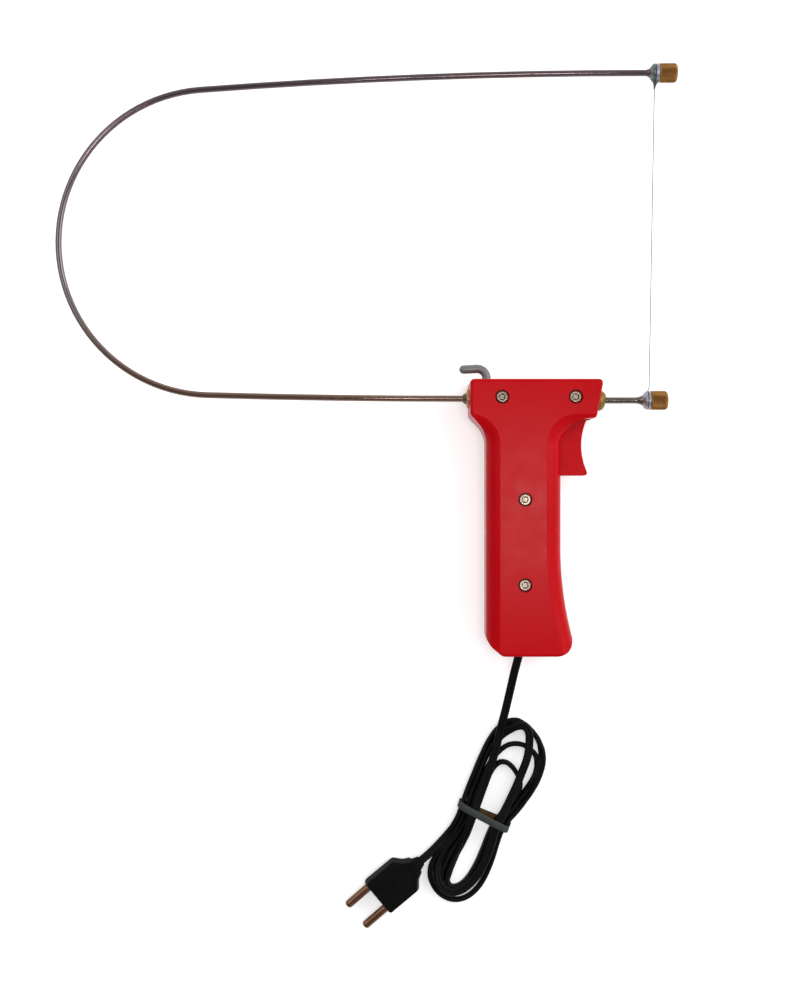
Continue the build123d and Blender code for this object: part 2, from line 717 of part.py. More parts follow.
def hank_point(along, across, up):
    lean = math.radians(HANK_LEAN)
    x = HANK_CENTRE[0] + along * math.sin(lean) + across * math.cos(lean)
    y = HANK_CENTRE[1] + along * math.cos(lean) - across * math.sin(lean)
    return Vector(x, y, up)


def hank_direction(along, across):
    return hank_point(along, across, 0) - hank_point(0, 0, 0)


def hank_start_way():
    lean = math.radians(START_LEAN)
    return hank_direction(math.cos(lean), math.sin(lean))


def hank_stations():
    """Extreme points of every loop with the way the cord runs there, from the tail to the lead."""
    up, right = hank_direction(1, 0), hank_direction(0, 1)
    low = LAYER_LOW
    stations = [(hank_point(*HANK_START, low), hank_start_way())]
    for loop in range(LOOPS):
        step = loop * LOOP_STEP
        tip = TOP_TIPS[loop]
        top_left, top_right = WAIST_LEFT + 1.4 + step, WAIST_RIGHT + 6.0 - 1.5 * loop - step
        stations += [
            (hank_point(0, WAIST_LEFT + step, low), up),
            (hank_point(tip * 0.66, top_left, low), up),
            (hank_point(tip, (top_left + top_right) / 2, low), right),
            (hank_point(tip * 0.62, top_right, low), -up),
            (hank_point(0, WAIST_RIGHT - step, low), -up),
            (hank_point(FOOT_U, FOOT_RIGHT - step, low), -up),
            (hank_point(FOOT_TIP + step, (FOOT_LEFT + FOOT_RIGHT) / 2, low), -right),
            (hank_point(FOOT_U, FOOT_LEFT + step, low), up),
        ]
    inner = WAIST_LEFT + LOOPS * LOOP_STEP
    stations += [
        (hank_point(-6.0, inner + 0.6, LAYER_HIGH), up),
        (hank_point(38.0, -6.3, LAYER_HIGH), up),
        (hank_point(HANK_END[0] - 4.0, HANK_END[1], LAYER_HIGH), up),
        (hank_point(*HANK_END, LAYER_HIGH), up),
    ]
    return stations


def lead_route():
    way = (Vector(*CORD_EXIT) - Vector(*INNER_CORD[1])).normalized()
    first = Vector(*CORD_EXIT) + way * LEAD_RUN
    end = hank_point(*HANK_END, LAYER_HIGH)
    last = end + hank_direction(1, 0) * LEAD_RUN
    return [CORD_EXIT, tuple(first), *LEAD_BENDS, tuple(last), tuple(end)]


def tail_route():
    end = hank_point(*HANK_START, LAYER_LOW)
    last = end - hank_start_way() * TAIL_RUN
    angle = math.radians(PLUG_ANGLE)
    way = Vector(math.cos(angle), math.sin(angle))
    neck = Vector(*PLUG_FRONT, PLUG_THICK / 2) + way * PLUG_LENGTH
    return [tuple(neck), tuple(neck + way * TAIL_RUN), *TAIL_BENDS, tuple(last), tuple(end)]


def arc_or_line(start, end, direction):
    if (end - start).cross(direction).length < 1e-6:
        return Line(start, end)
    return TangentArc(start, end, tangent=direction)


def biarc(start, start_way, end, end_way):
    """Two tangent arcs from one station to the next."""
    span = end - start
    spread = 1 - start_way.dot(end_way)
    if spread < 1e-9:
        reach = span.dot(span) / (4 * span.dot(end_way))
    else:
        along = span.dot(start_way + end_way)
        reach = (math.sqrt(along**2 + 2 * spread * span.dot(span)) - along) / (2 * spread)
    first, second = start + start_way * reach, end - end_way * reach
    joint = (first + second) / 2
    return [arc_or_line(start, joint, start_way), arc_or_line(joint, end, second - first)]


def least_gap(path):
    """Smallest space between two passes of the flat cord, measured on points along it."""
    step = 1.5
    count = int(path.length / step)
    points = [path @ (i / count) for i in range(count + 1)]
    flat = (CORD_WIDE - CORD_THIN) / 2
    apart = int(4 * CORD_WIDE / step)
    gap = math.inf
    for i, one in enumerate(points):
        for other in points[i + apart:]:
            height = max(0, abs(one.Z - other.Z) - 2 * flat)
            gap = min(gap, math.hypot(one.X - other.X, one.Y - other.Y, height) - CORD_THIN)
    return gap


def cord_hank():
    stations = hank_stations()
    edges = []
    for (start, start_way), (end, end_way) in zip(stations, stations[1:]):
        edges += biarc(start, start_way, end, end_way)
    path = Wire(edges)
    section = cord_section()
    hank = sweep(Plane(path @ 0, x_dir=(0, 0, 1), z_dir=path % 0) * section, path=path)
    print("hank length", round(path.length), "least gap", round(least_gap(path), 2))
    print("hank volume", round(hank.volume, 1), "section by length", round(section.area * path.length, 1))
    return hank


def hank_tie():
    """Flat band drawn round the waist of the hank."""
    right = WAIST_RIGHT + CORD_THIN / 2 + 0.5
    left = WAIST_LEFT - CORD_THIN / 2 - 0.5
    top = LAYER_HIGH + CORD_WIDE / 2 + 0.4
    low_top = LAYER_LOW + CORD_WIDE / 2 + 0.5
    points = [(left, 1.0), (right, 1.0), (right, low_top), (-1.0, top), (-10.0, top), (left, low_top)]
    inside = make_face(FilletPolyline(*points, radius=[0.4, 0.4, 1.2, 2.0, 2.0, 1.2], close=True))
    ring = offset(inside, TIE_THICK) - inside
    frame = Plane(hank_point(0, 0, 0), x_dir=hank_direction(0, 1), z_dir=hank_direction(-1, 0))
    return extrude(frame * ring, TIE_WIDTH / 2, both=True)


def plug_place():
    return Pos(*PLUG_FRONT, PLUG_THICK / 2) * Rot(0, 0, PLUG_ANGLE)


def pin_places():
    """Frames of the two pins, with Z out of the plug's face."""
    frames = []
    for side in (-1, 1):
        frames.append(Pos(0, side * PIN_SPACING / 2, 0) * Rot(0, 0, PIN_LEAN) * Rot(0, -90, 0))
    return frames


def plug_body():
    """Flat body, widest at its parting line, whose shoulders curve in to a collar, with a cone onto the cord."""
    half = [(0, PLUG_HALF), (PLUG_SIDE, PLUG_HALF), PLUG_WAIST, PLUG_COLLAR]
    points = [(along, -across) for along, across in half] + half[::-1]
    outline = FilletPolyline(*points, radius=PLUG_CORNERS + PLUG_CORNERS[::-1], close=True)
    upper = extrude(make_face(outline), PLUG_THICK / 2, taper=PLUG_DRAFT)
    upper = fillet(upper.edges().group_by(Axis.Z)[-1], PLUG_ROUND)
    body = upper + mirror(upper, about=Plane.XY)
    collar = PLUG_COLLAR[0]
    neck = Pos(collar - 1, 0, 0) * Rot(0, 90, 0)
    body += neck * Cone(5.4, 3.5, PLUG_LENGTH - collar + 1, align=(Align.CENTER, Align.CENTER, Align.MIN))
    for rib in range(PLUG_RIBS):
        along = PLUG_RIB_FIRST + PLUG_RIB_STEP * rib
        body += Pos(along, 0, 0) * Box(1.2, 11.0, PLUG_THICK + 0.8) & keep_above()
    for frame in pin_places():
        body -= frame * Pos(0, 0, -PIN_ROOT / 2 + 0.5) * Cylinder(PIN_ROOT_DIA / 2, PIN_ROOT + 1)
    return plug_place() * body


def keep_above():
    return Pos(0, 0, PLUG_THICK) * Box(100, 100, 2 * PLUG_THICK)


def plug_pins():
    pins = []
    for frame in pin_places():
        pin = Pos(0, 0, (PIN_LENGTH + PIN_GAP) / 2) * Cylinder(PIN_DIA / 2, PIN_LENGTH - PIN_GAP)
        pin = fillet(pin.edges().group_by(Axis.Z)[-1], 2.0)
        pin += Pos(0, 0, (PIN_GAP - PIN_ROOT) / 2) * Cylinder(PIN_ROOT_DIA / 2, PIN_ROOT + PIN_GAP)
        pins.append(plug_place() * frame * pin)
    return pins


def main():
    outer, cavity = outer_half(), cavity_half()
    upper_y = bow_path()[1].Y
    nodes = {
        "handle_shell_top": handle_shell_top(outer, cavity),
        "handle_shell_bottom": handle_shell_bottom(outer, cavity),
        "shell_screws": [
            pan_screw(x, y, SCREW_SEAT, SCREW_TIP, SCREW_DIA, SCREW_HEAD_DIA, SCREW_HEAD)
            for x, y in SCREW_PLACES
        ],
        "trigger": trigger(),
        "trigger_pivot_pin": cylinder(*PIVOT, 5.5, THICKNESS - 5.5, PIVOT_DIA),
        "trigger_return_spring": trigger_return_spring(),
        "switch_body": switch_body(),
        "switch_plunger": switch_plunger(),
        "switch_terminals": switch_terminals(),
        "transformer_core": transformer_core(),
        "transformer_bobbin": transformer_bobbin(),
        "primary_winding": primary_winding(),
        "secondary_winding": secondary_winding(),
        "bow": bow(),
        "bow_clamp_block": bow_clamp_block(),
        "bow_clamp_screw": bow_clamp_screw(),
        "rear_bush": rear_bush(),
        "nose_rod": nose_rod(),
        "nose_bush": nose_bush(),
        "nose_block": nose_block(),
        "nose_set_screw": nose_set_screw(),
        "upper_cup_washer": cup_washer(upper_y, UPPER_STACK),
        "upper_flat_washer": flat_washer(upper_y, UPPER_STACK),
        "upper_thumb_nut": thumb_nut(upper_y, UPPER_STACK),
        "lower_cup_washer": cup_washer(NOSE_AXIS_Y, LOWER_STACK),
        "lower_flat_washer": flat_washer(NOSE_AXIS_Y, LOWER_STACK),
        "lower_thumb_nut": thumb_nut(NOSE_AXIS_Y, LOWER_STACK),
        "cutting_wire": cutting_wire(upper_y),
        "cord_clamp": cord_clamp(),
        "cord_clamp_screws": cord_clamp_screws(),
        "cord_inner": tube("cord_inner", INNER_CORD, cord_section()),
        "cord_lead": tube("cord_lead", lead_route(), cord_section()),
        "cord_hank": cord_hank(),
        "cord_tail": tube("cord_tail", tail_route(), cord_section()),
        "hank_tie": hank_tie(),
        "plug_body": plug_body(),
        "plug_pins": plug_pins(),
    }
    nodes.update(inner_wires())
    os.makedirs("parts", exist_ok=True)
    for name, solid in nodes.items():
        group = Compound(children=solid) if isinstance(solid, list) else solid
        export_step(group, f"parts/{name}.step")


if __name__ == "__main__":
    main()
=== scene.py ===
import math

import bpy
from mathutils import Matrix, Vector


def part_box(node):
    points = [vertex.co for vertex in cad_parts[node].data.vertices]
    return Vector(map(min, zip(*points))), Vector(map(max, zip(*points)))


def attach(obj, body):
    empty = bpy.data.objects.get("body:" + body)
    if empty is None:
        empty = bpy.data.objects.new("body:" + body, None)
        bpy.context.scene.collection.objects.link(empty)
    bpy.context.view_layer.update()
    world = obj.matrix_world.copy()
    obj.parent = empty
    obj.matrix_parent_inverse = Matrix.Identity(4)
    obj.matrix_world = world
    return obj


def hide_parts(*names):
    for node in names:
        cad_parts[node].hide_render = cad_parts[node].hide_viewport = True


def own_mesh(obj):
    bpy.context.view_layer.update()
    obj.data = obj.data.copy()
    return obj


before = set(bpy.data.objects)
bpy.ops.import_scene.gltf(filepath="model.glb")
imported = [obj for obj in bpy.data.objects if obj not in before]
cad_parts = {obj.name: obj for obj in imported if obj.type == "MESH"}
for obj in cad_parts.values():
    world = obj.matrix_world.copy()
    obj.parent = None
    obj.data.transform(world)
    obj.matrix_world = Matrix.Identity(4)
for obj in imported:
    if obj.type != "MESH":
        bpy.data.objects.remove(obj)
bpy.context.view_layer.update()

# A hot-wire foam cutter lying on a white table.
# Lengths are in millimetres, unless a comment says metres.
MM = 0.001
UP = Vector((0, 0, 1))

# Camera straight above, as in the photograph
CAMERA_PLACE = (22.0, -93.0, 944.5)
CAMERA_LENS = 50.0
SENSOR_HEIGHT = 36.0

# Room: the direction of its dim side, and levels of light from the bright side, 0, to the dim one, 1
DIM_SIDE = (-0.45, -0.3, 0.84)
WALLS = [(0.2, 1.15), (0.45, 1.05), (0.68, 0.85), (0.9, 0.32)]

# Lamps, in metres and watts: name, place, aim, size and power
LAMPS = [
    ("key", (1.25, 0.35, 0.9), (0.1, -0.1, 0), (1.0, 1.0), 8),
    ("fill", (-0.9, 0.45, 1.3), (0.0, -0.1, 0), (1.0, 1.0), 5.2),
    ("strip", (0.028, -0.09, 1.3), (0.028, -0.09, 0), (0.03, 0.5), 0.8),
    ("overhead", (0.244, -0.11, 1.5), (0.1, -0.1, 0), (0.22, 0.22), 2.6),
]

# Floor, with the glow that lifts it to white for the camera and reflections
FLOOR_HALF = 4000.0
FLOOR_COLOUR = (0.9, 0.9, 0.9, 1)
FLOOR_ROUGH = 0.9
FLOOR_GLOW = 0.4

# Cord, a flat twin flex
CORD_WIDE = 5.6
CORD_THIN = 3.3
CORD_STEPS = 12
ROUND_STEPS = 10
CORD_SHARP_DEGREES = 50

# Hank axes: along its length, across it, and up
HANK_CENTRE = (78.4, -307.3)
HANK_LEAN = math.radians(19.15)

# Route points are (along, across, up, roll).
# A roll of 0 degrees stands the flat cord on its edge, and 90 lays it flat.
LEAD = [
    (116.5, -15.15, 18.5, 90),
    (107.5, -14.4, 18.5, 90),
    (100.5, -13.9, 17.9, 90),
    (92.0, -12.7, 16.0, 90),
    (83.0, -11.5, 13.4, 90),
    (73.8, -10.3, 11.56, 90),
    (66.0, -9.5, 9.14, 88),
    (57.5, -8.6, 7.71, 84),
    (46.5, -7.3, 7.38, 86),
    (35.0, -6.8, 7.38, 90),
    (22.0, -7.0, 7.49, 92),
    (10.5, -7.2, 8.15, 92),
    (4.0, -7.3, 8.7, 90),
    (-4.0, -7.4, 8.7, 88),
    (-13.0, -7.4, 7.6, 76),
    (-22.0, -7.8, 4.96, 46),
]
FOOT_OF_LEAD = [
    (-30.0, -8.8, 3.2, 34),
    (-37.0, -9.3, 3.1, 40),
    (-44.0, -9.7, 3.1, 44),
    (-50.6, -8.9, 3.1, 24),
    (-52.4, -4.2, 2.98, 0),
    (-49.2, 0.6, 2.98, 0),
    (-43.5, 3.8, 2.87, 4),
    (-35.5, 5.8, 2.87, 8),
    (-26.0, 6.9, 2.98, 10),
    (-15.0, 7.2, 3.31, 8),
]
LOOP_D = [
    (-5.0, 7.5, 4.08, 4),
    (3.5, 9.9, 4.08, 4),
    (11.0, 13.2, 3.31, 6),
    (18.0, 15.7, 2.98, 8),
    (25.5, 17.3, 2.98, 10),
    (31.2, 15.8, 2.98, 8),
    (35.0, 12.0, 2.87, 4),
    (38.4, 7.4, 2.87, 0),
    (40.0, 2.4, 2.87, 0),
    (38.2, -2.2, 2.87, 0),
    (32.3, -4.6, 2.87, 6),
    (24.0, -5.6, 2.98, 10),
    (14.0, -5.8, 3.2, 12),
    (5.0, -5.7, 4.08, 12),
    (-4.0, -5.9, 4.08, 10),
]
FOOT_OF_D = [
    (-12.0, -7.6, 3.42, 10),
    (-20.0, -9.8, 3.09, 14),
    (-28.5, -12.0, 3.09, 26),
    (-37.5, -13.4, 3.1, 30),
    (-46.8, -14.0, 3.1, 26),
    (-54.0, -11.2, 3.0, 4),
    (-57.2, -4.4, 2.9, 0),
    (-52.6, 3.0, 2.9, 0),
    (-45.0, 6.9, 2.87, 6),
    (-36.0, 9.2, 2.98, 12),
    (-26.0, 10.4, 3.09, 12),
    (-15.0, 10.6, 3.31, 10),
]
LOOP_C = [
    (-5.0, 11.0, 4.08, 6),
    (3.5, 13.3, 4.08, 8),
    (11.5, 16.7, 3.31, 10),
    (18.5, 18.9, 2.98, 12),
    (25.5, 21.8, 2.54, 40),
    (32.5, 24.4, 1.99, 78),
    (39.5, 25.2, 1.88, 84),
    (45.5, 24.0, 2.32, 55),
    (50.4, 20.6, 2.87, 18),
    (53.4, 15.8, 2.98, 6),
    (54.8, 9.8, 2.98, 4),
    (53.8, 4.2, 2.87, 4),
    (50.8, -0.8, 2.87, 4),
    (45.0, -4.4, 2.87, 6),
    (36.0, -8.0, 2.87, 10),
    (26.0, -8.9, 2.98, 10),
    (15.0, -9.3, 3.2, 12),
    (5.0, -9.2, 4.08, 12),
    (-4.0, -9.4, 4.08, 12),
]
FOOT_OF_C = [
    (-12.0, -11.0, 3.42, 14),
    (-20.0, -13.2, 3.09, 24),
    (-29.0, -16.5, 3.0, 44),
    (-38.0, -18.2, 3.6, 60),
    (-46.2, -17.5, 5.4, 78),
    (-53.2, -12.8, 7.2, 88),
    (-55.6, -5.0, 7.6, 90),
    (-51.2, 2.2, 7.6, 90),
    (-44.2, 6.6, 7.6, 90),
    (-35.5, 9.6, 7.6, 92),
    (-25.5, 11.0, 7.6, 94),
    (-14.0, 10.8, 7.93, 92),
]
LOOP_B = [
    (-4.5, 10.1, 8.59, 90),
    (4.0, 10.9, 8.59, 90),
    (11.5, 12.1, 7.93, 88),
    (20.0, 13.2, 7.6, 86),
    (29.0, 14.1, 7.49, 88),
    (37.5, 14.4, 7.49, 90),
    (46.0, 14.8, 7.6, 92),
    (53.0, 13.9, 7.71, 94),
    (59.0, 12.3, 7.71, 94),
    (64.4, 10.4, 7.71, 88),
    (67.8, 6.4, 7.6, 82),
    (66.1, 1.5, 6.6, 76),
    (61.8, -2.3, 5.0, 66),
    (55.8, -6.4, 3.7, 50),
    (47.2, -10.0, 3.1, 34),
    (37.5, -11.6, 3.0, 14),
    (26.0, -12.1, 2.98, 12),
    (15.0, -12.8, 3.2, 12),
    (5.0, -12.7, 4.08, 12),
    (-4.0, -12.8, 4.08, 12),
]
FOOT_OF_B = [
    (-12.0, -13.9, 3.31, 14),
    (-20.0, -15.9, 2.98, 14),
    (-27.5, -18.3, 2.87, 20),
    (-34.5, -21.0, 2.87, 34),
    (-42.0, -22.5, 2.87, 32),
    (-49.4, -21.2, 2.9, 18),
    (-55.4, -16.8, 2.9, 2),
    (-59.4, -10.6, 2.9, 0),
    (-60.6, -3.4, 2.9, 0),
    (-58.6, 3.6, 2.9, 0),
    (-53.4, 9.2, 2.9, 2),
    (-45.0, 13.2, 2.87, 4),
    (-35.0, 14.9, 2.87, 6),
    (-24.0, 15.2, 2.98, 8),
    (-13.0, 14.6, 3.31, 8),
]
LOOP_A = [
    (-5.0, 14.5, 4.08, 6),
    (3.5, 16.7, 4.08, 6),
    (10.5, 20.2, 3.31, 6),
    (18.5, 22.7, 3.31, 14),
    (27.5, 24.7, 4.3, 42),
    (37.0, 25.9, 5.29, 80),
    (46.5, 25.7, 5.29, 76),
    (54.0, 23.5, 4.52, 42),
    (60.2, 19.4, 3.31, 14),
    (65.0, 13.6, 2.87, 4),
    (68.4, 6.6, 2.87, 0),
    (69.0, -0.1, 2.8, 34),
    (65.1, -6.0, 2.6, 62),
    (58.5, -10.1, 2.5, 60),
    (49.8, -12.9, 2.7, 38),
    (38.5, -14.9, 2.87, 10),
    (26.0, -15.5, 2.98, 10),
    (15.0, -16.2, 3.2, 10),
    (5.0, -16.3, 4.08, 10),
    (-4.0, -16.2, 4.08, 10),
]
TAIL = [
    (-12.0, -16.8, 3.64, 34),
    (-20.0, -19.1, 3.42, 66),
    (-28.0, -22.6, 4.4, 84),
    (-33.7, -25.6, 5.4, 90),
    (-37.8, -28.1, 6.4, 90),
    (-42.4, -31.0, 7.0, 90),
]
ROUTE = (
    LEAD + FOOT_OF_LEAD + LOOP_D + FOOT_OF_D + LOOP_C + FOOT_OF_C + LOOP_B + FOOT_OF_B + LOOP_A + TAIL
)

# Tie round the hank, along its middle as (along, across, up), all the way round
TIE = [
    (4.2, -18.5, 1.4),
    (3.7, -19.0, 4.2),
    (2.9, -18.0, 7.7),
    (1.7, -11.0, 10.4),
    (0.2, 0.0, 10.8),
    (-1.8, 13.0, 10.6),
    (-2.6, 17.7, 8.2),
    (-1.2, 19.0, 4.6),
    (0.7, 18.6, 1.3),
    (1.2, 12.0, 0.5),
    (1.7, 0.0, 0.4),
    (2.7, -12.0, 0.5),
]
TIE_WIDE = 4.8
TIE_THICK = 0.5
TIE_BEVEL = 0.2
TIE_STEPS = 10

# Thumb nuts: bore and closed end, plain band beside the clamp, rounded rim and slightly domed end.
# The dome's points are (share of the bulge below the end, share of the radius).
# NUT_MIDDLE is the radius of the faces that close the bore's end and the dome.
NUT_BORE = 1.65
NUT_END = 1.5
NUT_CHAMFER = 0.4
NUT_BAND = 0.9
NUT_BAND_SUNK = 0.05
NUT_STEP = 0.2
NUT_ROUND = 2.0
NUT_ROUND_DEGREES = (0, 20, 40, 60, 80)
NUT_BULGE = 0.35
NUT_DOME = [(0.5, 0.45), (0.0, 0.15)]
NUT_MIDDLE = 0.01
NUT_SHARP_DEGREES = 32
KNURL_TEETH = 48
KNURL_DEPTH = 0.34
KNURL_SAMPLES = 4

# Free end of the wire, wound round the wire under the upper clamp
TWIST_TOP = (192.0, 186.3, 19.8)
TWIST_FOOT = (191.2, 180.6, 20.6)
TWIST_TURNS = 11
TWIST_RADII = (2.3, 0.45)
TWIST_WIRE = 0.22

# Return spring behind the trigger
SPRING_WIRE = 0.35
SPRING_TURNS = 5

# Round wire wound into a coil
COIL_SAMPLES = 14
WIRE_SIDES = 8

# Finishes, apart from those of the bow and the rear bush. Their patches have a size, the grain, and two
# 8-bit colours. Then come the range of the roughness and the depth of the relief.
FINISHES = {
    "red_moulding": dict(
        grain=40, colours=[(180, 6, 15), (184, 8, 18)],
        rough=(0.195, 0.265), relief=0.001, specular=0.06,
    ),
    "trigger_red": dict(
        grain=4, colours=[(178, 6, 15), (188, 10, 22)],
        rough=(0.3, 0.44), relief=0.02, specular=0.06,
    ),
    "nose_steel": dict(
        grain=20, colours=[(103, 92, 90), (113, 100, 97)],
        rough=(0.12, 0.18), relief=0.0004, metallic=1.0,
    ),
    "washer_zinc": dict(
        grain=4, colours=[(142, 146, 158), (164, 168, 178)],
        rough=(0.38, 0.48), relief=0.003, metallic=1.0,
    ),
    "cup_grey": dict(
        grain=3, colours=[(88, 100, 100), (112, 118, 118)],
        rough=(0.3, 0.42), relief=0.006, metallic=1.0,
    ),
    "screw_grey": dict(
        grain=6, colours=[(106, 106, 109), (118, 117, 119)],
        rough=(0.34, 0.46), relief=0.004, metallic=0.45,
    ),
    "nickel": dict(
        grain=16, colours=[(114, 104, 92), (146, 134, 122)],
        rough=(0.24, 0.34), relief=0.04, metallic=1.0,
    ),
    "old_brass": dict(
        grain=5, colours=[(134, 96, 52), (150, 109, 62)],
        rough=(0.34, 0.42), relief=0.004, metallic=1.0,
    ),
    "nose_brass": dict(
        grain=3, colours=[(124, 98, 50), (146, 118, 66)],
        rough=(0.46, 0.56), relief=0.006, metallic=1.0,
    ),
    "drawn_wire": dict(
        grain=2, colours=[(40, 39, 41), (58, 57, 60)],
        rough=(0.5, 0.6), relief=0.002, specular=0.3,
    ),
    "pin_nickel": dict(
        grain=9, colours=[(104, 72, 54), (120, 89, 71)],
        rough=(0.22, 0.28), relief=0.001, metallic=1.0,
    ),
    "black_pvc": dict(
        grain=7, colours=[(8, 6, 8), (12, 10, 12)],
        rough=(0.34, 0.44), relief=0.004, specular=0.08,
    ),
    "black_plug": dict(
        grain=9, colours=[(14, 13, 14), (18, 17, 18)],
        rough=(0.36, 0.46), relief=0.006, specular=0.03,
    ),
    "tie_outside": dict(
        grain=6, colours=[(46, 56, 43), (57, 59, 66)],
        rough=(0.5, 0.62), relief=0.02, specular=0.2,
    ),
    "tie_inside": dict(
        grain=4, colours=[(78, 55, 30), (96, 69, 41)],
        rough=(0.6, 0.75), relief=0.02, specular=0.2,
    ),
    "dark_phenolic": dict(
        grain=6, colours=[(24, 23, 24), (34, 32, 32)],
        rough=(0.45, 0.6), relief=0.02,
    ),
    "white_nylon": dict(
        grain=5, colours=[(206, 204, 196), (222, 220, 212)],
        rough=(0.4, 0.55), relief=0.01,
    ),
    "core_laminate": dict(
        grain=0.5, colours=[(78, 78, 82), (104, 104, 108)],
        rough=(0.4, 0.6), relief=0.05, stretch=(40, 40, 1), metallic=1.0,
    ),
    "enamelled_copper": dict(
        grain=0.4, colours=[(128, 66, 36), (176, 100, 58)],
        rough=(0.25, 0.4), relief=0.08, stretch=(40, 1, 40), metallic=1.0,
    ),
    "wire_sheath": dict(
        grain=5, colours=[(66, 66, 70), (84, 84, 88)],
        rough=(0.45, 0.6), relief=0.01,
    ),
}

# Levels of the noise: where the patches change colour, and what the roughness is spread over
PATCH_LEVELS = (0.35, 0.65)
ROUGH_LEVELS = (0.3, 0.7)
NOISE_DETAIL = 3.0

# Stretch of a grain that is as long along every axis
EVEN = (1, 1, 1)

# The gloss and the relief have a finer grain than the patches, by these factors
GLOSS_FINER = 4
RELIEF_FINER = 20

# Steel of the bow: tints from its lower run to its upper one, as (share of the way, 8-bit colour)
ROD_TINTS = [
    (0.14, (122, 99, 88)),
    (0.33, (119, 110, 112)),
    (0.5, (108, 98, 101)),
    (0.82, (100, 87, 89)),
]
ROD_BLUR = 0.2
ROD_BLUR_GRAIN = 30
ROD_SURFACE = dict(grain=110, rough=(0.1, 0.16), relief=0.0004)

# Brass of the rear bush: the length that shows, and tints from the cone's tip to the flange
BUSH_SHOWS = 4.2
BUSH_TINTS = [(0.5, (104, 84, 74)), (0.66, (178, 136, 104))]
BUSH_SURFACE = dict(grain=4, rough=(0.3, 0.42), relief=0.006)

# CAD nodes and pieces by finish. The tie has one finish outside and another inside.
COVERED = {
    "red_moulding": ["handle_shell_top", "handle_shell_bottom"],
    "trigger_red": ["trigger"],
    "rod_steel": ["bow"],
    "nose_steel": ["nose_rod"],
    "washer_zinc": [
        "upper_flat_washer", "lower_cup_washer", "lower_flat_washer", "trigger_return_spring",
        "return_spring", "trigger_pivot_pin", "nose_set_screw", "cord_clamp_screws",
    ],
    "cup_grey": ["upper_cup_washer", "wire_twist"],
    "screw_grey": ["bow_clamp_screw"],
    "nickel": ["shell_screws"],
    "old_brass": [
        "upper_knurled_nut", "lower_knurled_nut", "upper_thumb_nut", "lower_thumb_nut",
        "bow_clamp_block", "nose_block", "switch_terminals",
    ],
    "bush_brass": ["rear_bush"],
    "nose_brass": ["nose_bush"],
    "drawn_wire": ["cutting_wire"],
    "pin_nickel": ["plug_pins"],
    "black_pvc": ["cord", "cord_inner", "cord_lead", "cord_hank", "cord_tail"],
    "black_plug": ["plug_body"],
    "tie_outside": ["hank_tie"],
    "dark_phenolic": ["switch_body", "cord_clamp", "transformer_bobbin"],
    "white_nylon": ["switch_plunger"],
    "core_laminate": ["transformer_core"],
    "enamelled_copper": ["primary_winding", "secondary_winding"],
    "wire_sheath": [
        "bow_supply_wire", "nose_supply_wire", "live_wire", "switched_wire", "neutral_wire",
    ],
}
TIE_FINISHES = ("tie_outside", "tie_inside")


def srgb(red, green, blue):
    """Linear colour of an 8-bit screen colour."""
    def linear(value):
        value /= 255
        return value / 12.92 if value <= 0.04045 else ((value + 0.055) / 1.055) ** 2.4
    return (linear(red), linear(green), linear(blue), 1.0)


def hank_point(along, across, up):
    """Place in metres of a point given in the hank's own axes."""
    x = HANK_CENTRE[0] + along * math.sin(HANK_LEAN) + across * math.cos(HANK_LEAN)
    y = HANK_CENTRE[1] + along * math.cos(HANK_LEAN) - across * math.sin(HANK_LEAN)
    return Vector((x, y, up)) * MM


def add_mesh(name, points, faces):
    mesh = bpy.data.meshes.new(name)
    mesh.from_pydata(points, [], faces)
    mesh.update()
    for polygon in mesh.polygons:
        polygon.use_smooth = True
    piece = bpy.data.objects.new(name, mesh)
    bpy.context.scene.collection.objects.link(piece)
    return piece


def ring_faces(rings, around, closed=False):
    """Quads between rings of points that follow one another."""
    faces = []
    for ring in range(rings if closed else rings - 1):
        low, high = ring * around, (ring + 1) % rings * around
        for i in range(around):
            after = (i + 1) % around
            faces.append((low + i, low + after, high + after, high + i))
    return faces


def end_caps(rings, around):
    first = tuple(reversed(range(around)))
    last = tuple(range((rings - 1) * around, rings * around))
    return [first, last]


def spline_points(route, steps, closed=False):
    """Points read from one smooth spline whose control points are the route."""
    curve = bpy.data.curves.new("route", "CURVE")
    curve.dimensions = "3D"
    spline = curve.splines.new("NURBS")
    spline.points.add(len(route) - 1)
    for control, place in zip(spline.points, route):
        control.co = (*place, 1.0)
    spline.order_u = 3
    spline.use_endpoint_u = not closed
    spline.use_cyclic_u = closed
    spline.resolution_u = steps
    line = bpy.data.objects.new("route", curve)
    bpy.context.scene.collection.objects.link(line)
    mesh = bpy.data.meshes.new_from_object(line)
    points = [vertex.co.copy() for vertex in mesh.vertices]
    bpy.data.objects.remove(line)
    bpy.data.curves.remove(curve)
    bpy.data.meshes.remove(mesh)
    return points


# Cord

def between(values, place):
    """Value at a fractional index of a list, easing from one entry to the next."""
    index = min(max(int(place), 0), len(values) - 2)
    share = min(max(place - index, 0.0), 1.0)
    share = share * share * (3 - 2 * share)
    return values[index] * (1 - share) + values[index + 1] * share


def twin_section():
    """Outline of two round cores side by side, with a groove between them, as (wide, thin)."""
    radius = CORD_THIN / 2
    centre = CORD_WIDE / 2 - radius
    groove = math.acos(-centre / radius)
    outline = []
    for side in (1, -1):
        for step in range(ROUND_STEPS):
            angle = -groove + 2 * groove * step / ROUND_STEPS
            wide = centre + radius * math.cos(angle)
            thin = radius * math.sin(angle)
            outline.append((side * wide, side * thin))
    return outline


